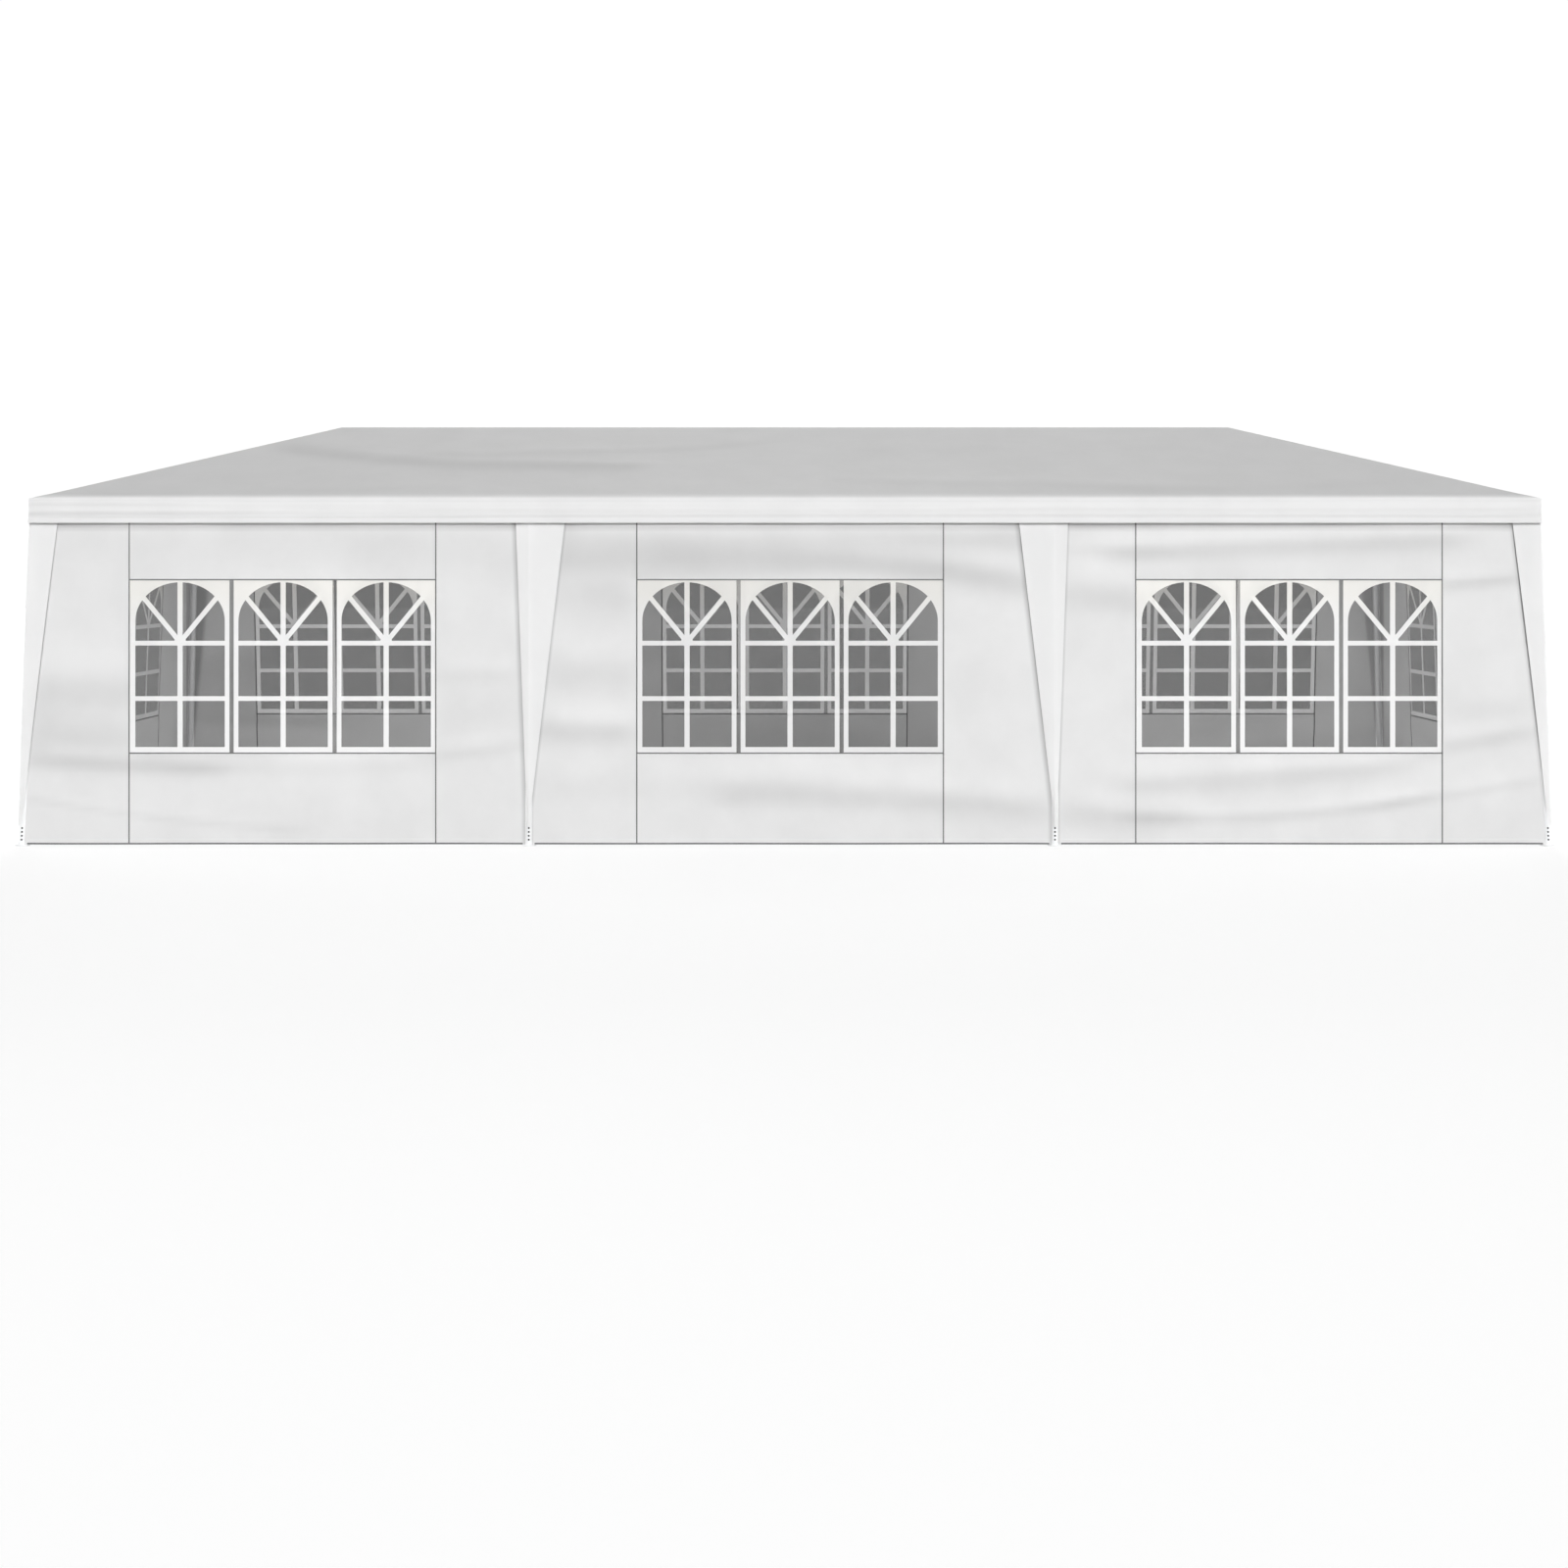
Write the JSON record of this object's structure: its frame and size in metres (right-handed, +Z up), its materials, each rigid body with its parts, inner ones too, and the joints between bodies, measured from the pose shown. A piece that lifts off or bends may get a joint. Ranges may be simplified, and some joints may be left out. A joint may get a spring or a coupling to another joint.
{
  "type": "marquee tent",
  "caption": "Long hip-roofed party marquee: a white fabric cover with a valance and leg drapes, window walls all round, on a frame of coated steel tube.",
  "frame": {"origin": "on the ground at the centre of the tent's footprint", "axes": "+X along the ridge, to the right as seen from the front; +Y from the front long side towards the back; +Z up"},
  "size_m": [9.144, 3.144, 2.6],
  "materials": {
    "cover_fabric": "woven polyethylene, satin",
    "wall_fabric": "woven polyethylene, satin",
    "window_film": "clear film",
    "coated_steel": "powder coat, semi gloss",
    "fitting_plastic": "moulded"
  },
  "bodies": {
    "root": {"canopy_cover": "cover_fabric", "corner_fitting_back_left": "fitting_plastic", "corner_fitting_back_right": "fitting_plastic", "corner_fitting_front_left": "fitting_plastic", "corner_fitting_front_right": "fitting_plastic", "eave_fitting_back_mid_left": "fitting_plastic", "eave_fitting_back_mid_right": "fitting_plastic", "eave_fitting_front_mid_left": "fitting_plastic", "eave_fitting_front_mid_right": "fitting_plastic", "eave_rail_back_left": "coated_steel", "eave_rail_back_middle": "coated_steel", "eave_rail_back_right": "coated_steel", "eave_rail_front_left": "coated_steel", "eave_rail_front_middle": "coated_steel", "eave_rail_front_right": "coated_steel", "eave_rail_left": "coated_steel", "eave_rail_right": "coated_steel", "hip_rafter_back_left": "coated_steel", "hip_rafter_back_right": "coated_steel", "hip_rafter_front_left": "coated_steel", "hip_rafter_front_right": "coated_steel", "leg_back_left": "coated_steel", "leg_back_mid_left": "coated_steel", "leg_back_mid_right": "coated_steel", "leg_back_right": "coated_steel", "leg_front_left": "coated_steel", "leg_front_mid_left": "coated_steel", "leg_front_mid_right": "coated_steel", "leg_front_right": "coated_steel", "rafter_back_mid_left": "coated_steel", "rafter_back_mid_right": "coated_steel", "rafter_front_mid_left": "coated_steel", "rafter_front_mid_right": "coated_steel", "ridge_fitting_left": "fitting_plastic", "ridge_fitting_mid_left": "fitting_plastic", "ridge_fitting_mid_right": "fitting_plastic", "ridge_fitting_right": "fitting_plastic", "ridge_tube_left": "coated_steel", "ridge_tube_middle": "coated_steel", "ridge_tube_right": "coated_steel", "wall_back_left": "wall_fabric", "wall_back_middle": "wall_fabric", "wall_back_right": "wall_fabric", "wall_front_left": "wall_fabric", "wall_front_middle": "wall_fabric", "wall_front_right": "wall_fabric", "wall_left": "wall_fabric", "wall_right": "wall_fabric", "window_film_back_left": "window_film", "window_film_back_middle": "window_film", "window_film_back_right": "window_film", "window_film_front_left": "window_film", "window_film_front_middle": "window_film", "window_film_front_right": "window_film", "window_film_left": "window_film", "window_film_right": "window_film"}
  },
  "joints": []
}
